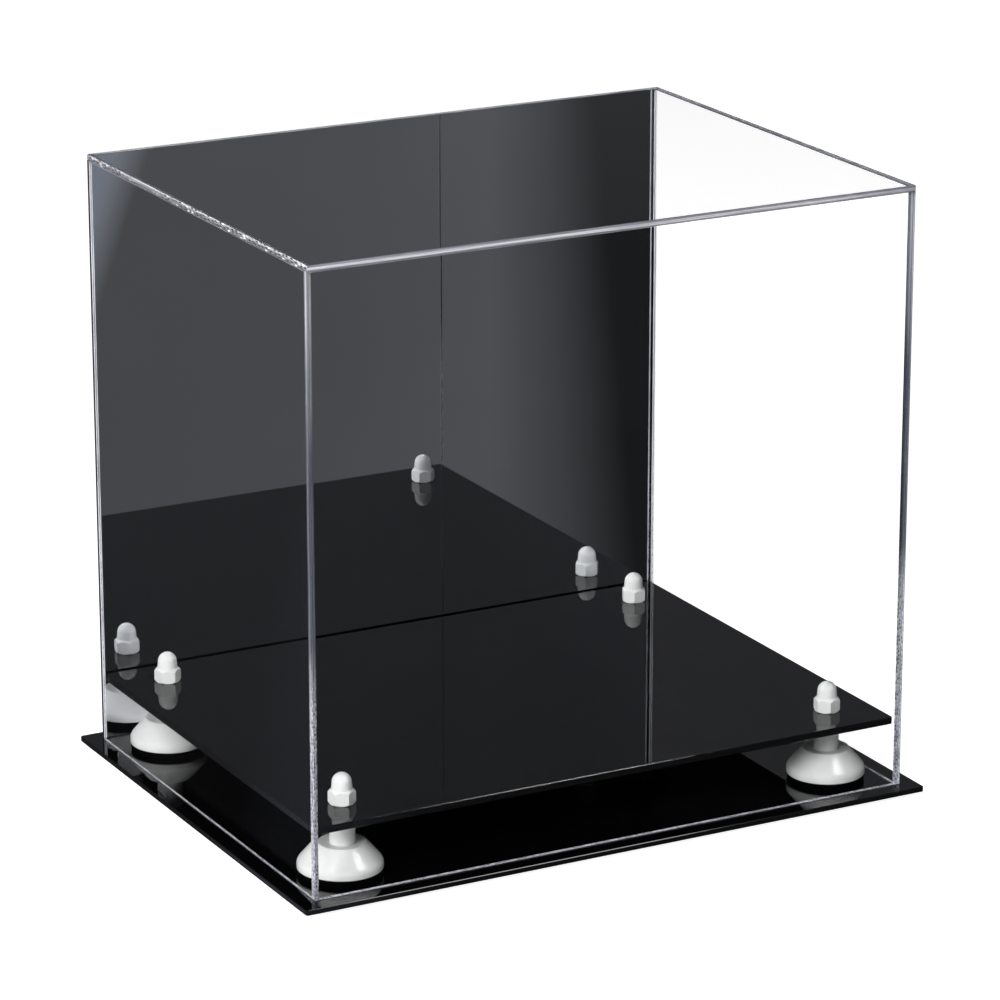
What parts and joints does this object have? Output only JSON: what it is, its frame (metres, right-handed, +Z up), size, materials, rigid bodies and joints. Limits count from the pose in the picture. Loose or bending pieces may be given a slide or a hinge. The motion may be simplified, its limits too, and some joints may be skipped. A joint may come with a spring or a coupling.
{
  "type": "display case",
  "caption": "Clear acrylic table-top display case with a mirror back wall, lifting off a black base with a raised black platform bolted on white bell risers.",
  "frame": {"origin": "on the table, under the middle of the base plate", "axes": "+X along the front to the right, +Y from the clear front to the mirror, +Z up"},
  "size_m": [0.3682, 0.2856, 0.3372],
  "materials": {
    "clear_acrylic": "polished",
    "mirror_acrylic": "polished",
    "black_acrylic": "polished",
    "white_plastic": "satin",
    "black_rubber": "matte",
    "zinc_plated_steel": "satin"
  },
  "bodies": {
    "base": {"base_plate": "black_acrylic", "platform": "black_acrylic", "riser_pad_1": "black_rubber", "riser_pad_2": "black_rubber", "riser_pad_3": "black_rubber", "riser_pad_4": "black_rubber", "riser_bell_1": "white_plastic", "riser_bell_2": "white_plastic", "riser_bell_3": "white_plastic", "riser_bell_4": "white_plastic", "riser_sleeve_1": "white_plastic", "riser_sleeve_2": "white_plastic", "riser_sleeve_3": "white_plastic", "riser_sleeve_4": "white_plastic", "foot_1": "black_rubber", "foot_2": "black_rubber", "foot_3": "black_rubber", "foot_4": "black_rubber"},
    "cover": {"top_panel": "clear_acrylic", "front_panel": "clear_acrylic", "left_panel": "clear_acrylic", "right_panel": "clear_acrylic", "mirror_panel": "mirror_acrylic"},
    "bolt_1": {"bolt_1": "zinc_plated_steel"},
    "bolt_2": {"bolt_2": "zinc_plated_steel"},
    "bolt_3": {"bolt_3": "zinc_plated_steel"},
    "bolt_4": {"bolt_4": "zinc_plated_steel"},
    "cap_nut_1": {"cap_nut_1": "white_plastic"},
    "cap_nut_2": {"cap_nut_2": "white_plastic"},
    "cap_nut_3": {"cap_nut_3": "white_plastic"},
    "cap_nut_4": {"cap_nut_4": "white_plastic"}
  },
  "joints": [
    {"name": "cover_lift", "type": "slide", "parent": "base", "child": "cover", "axis": [0, 0, 1], "range_m": [0, 0.34]},
    {"name": "bolt_turn_1", "type": "hinge", "parent": "base", "child": "bolt_1", "pos_m": [-0.14513, -0.10385, 0.004], "axis": [0, 0, 1], "range_deg": [-2880, 0]},
    {"name": "nut_rise_1", "type": "slide", "parent": "base", "child": "cap_nut_1", "axis": [0, 0, 1], "range_m": [0, 0.01]},
    {"name": "bolt_turn_2", "type": "hinge", "parent": "base", "child": "bolt_2", "pos_m": [0.14513, -0.10385, 0.004], "axis": [0, 0, 1], "range_deg": [-2880, 0]},
    {"name": "nut_rise_2", "type": "slide", "parent": "base", "child": "cap_nut_2", "axis": [0, 0, 1], "range_m": [0, 0.01]},
    {"name": "bolt_turn_3", "type": "hinge", "parent": "base", "child": "bolt_3", "pos_m": [0.14513, 0.10505, 0.004], "axis": [0, 0, 1], "range_deg": [-2880, 0]},
    {"name": "nut_rise_3", "type": "slide", "parent": "base", "child": "cap_nut_3", "axis": [0, 0, 1], "range_m": [0, 0.01]},
    {"name": "bolt_turn_4", "type": "hinge", "parent": "base", "child": "bolt_4", "pos_m": [-0.14513, 0.10505, 0.004], "axis": [0, 0, 1], "range_deg": [-2880, 0]},
    {"name": "nut_rise_4", "type": "slide", "parent": "base", "child": "cap_nut_4", "axis": [0, 0, 1], "range_m": [0, 0.01]}
  ],
  "couplings": [
    {"joint": "nut_rise_1", "follows": "bolt_turn_1", "m_per_rad": -0.00019894},
    {"joint": "nut_rise_2", "follows": "bolt_turn_2", "m_per_rad": -0.00019894},
    {"joint": "nut_rise_3", "follows": "bolt_turn_3", "m_per_rad": -0.00019894},
    {"joint": "nut_rise_4", "follows": "bolt_turn_4", "m_per_rad": -0.00019894}
  ]
}
